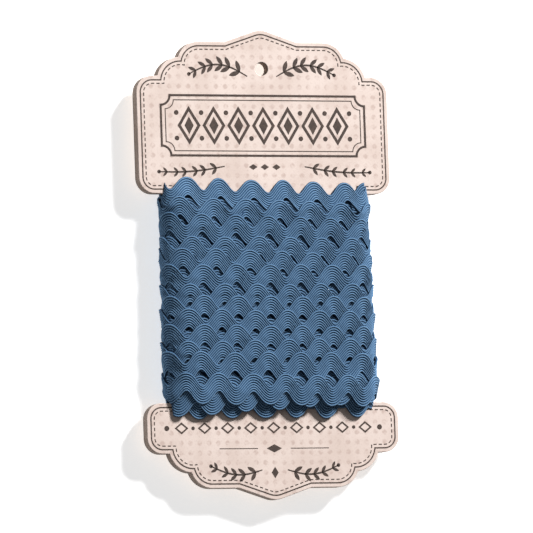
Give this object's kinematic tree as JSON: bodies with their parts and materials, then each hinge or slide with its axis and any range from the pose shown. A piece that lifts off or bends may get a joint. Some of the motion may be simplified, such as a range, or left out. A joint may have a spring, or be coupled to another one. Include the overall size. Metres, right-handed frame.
{
  "type": "card of wound rickrack trim",
  "caption": "Flat shaped board card with a hang hole, its neck wound with many lapping turns of wavy rickrack braid.",
  "frame": {"origin": "middle of the card's outline, on the plane that the back of the winding rests on", "axes": "+X to the card's right seen from its printed face, +Y towards the head with the hang hole, +Z out of the printed face"},
  "size_m": [0.138, 0.2418, 0.0184],
  "materials": {
    "printed_board": "matt printed paper on board",
    "rickrack": "dull woven braid"
  },
  "bodies": {
    "root": {"card": "printed_board", "wound_trim": "rickrack"}
  },
  "joints": []
}
